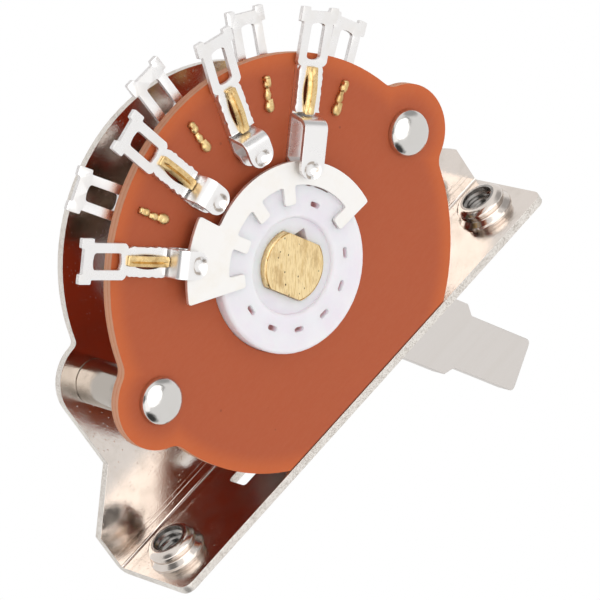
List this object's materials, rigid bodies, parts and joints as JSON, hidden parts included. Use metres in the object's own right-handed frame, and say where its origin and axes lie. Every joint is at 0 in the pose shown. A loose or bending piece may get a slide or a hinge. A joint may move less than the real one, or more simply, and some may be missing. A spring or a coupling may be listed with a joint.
{
  "type": "guitar pickup selector switch",
  "caption": "Open-frame lever switch: a folded metal bracket carries a phenolic wafer with sprung contacts and a white rotor, and a flat lever turns the rotor blades between them.",
  "frame": {"origin": "middle of the lever slot's line of fixing holes, on the outer face of the bracket's flange", "axes": "+Z out of the flange along the lever's middle position, X along the flange, -Y towards the wafer's front face"},
  "size_m": [0.0476, 0.0135, 0.0501],
  "materials": {
    "bracket_nickel": "bright nickel plate",
    "lever_nickel": "satin nickel plate",
    "rivet_steel": "polished",
    "phenolic": "satin laminated phenolic",
    "silver": "bright silver plate",
    "matte_silver": "matte silver plate",
    "brass": "bare, brushed",
    "nylon": "smooth, slightly translucent white",
    "spring_steel": "plain"
  },
  "bodies": {
    "frame": {"bracket": "bracket_nickel", "wafer": "phenolic", "rivet_left": "rivet_steel", "rivet_right": "rivet_steel", "spacer_left": "bracket_nickel", "spacer_right": "bracket_nickel", "front_lug_1": "silver", "front_lug_2": "silver", "front_lug_3": "silver", "front_lug_4": "silver", "front_clip_1": "silver", "front_clip_2": "silver", "front_clip_3": "silver", "front_clip_4": "silver", "front_staple_1": "brass", "front_staple_2": "brass", "front_staple_3": "brass", "front_staple_4": "brass", "rear_lug_1": "silver", "rear_lug_2": "silver", "rear_lug_3": "silver", "rear_lug_4": "silver", "rear_clip_1": "silver", "rear_clip_2": "silver", "rear_clip_3": "silver", "rear_clip_4": "silver", "rear_staple_1": "brass", "rear_staple_2": "brass", "rear_staple_3": "brass", "rear_staple_4": "brass"},
    "lever": {"lever": "lever_nickel", "shaft": "brass", "rotor": "nylon", "front_blade": "matte_silver", "rear_blade": "matte_silver", "detent_spring": "spring_steel", "detent_rivet_left": "rivet_steel", "detent_rivet_right": "rivet_steel", "shaft_washer": "spring_steel", "shaft_clip": "spring_steel"}
  },
  "joints": [
    {"name": "lever_pivot", "type": "hinge", "parent": "frame", "child": "lever", "pos_m": [0, 0.00025, -0.01513], "axis": [0, 1, 0], "range_deg": [0, 57]}
  ]
}
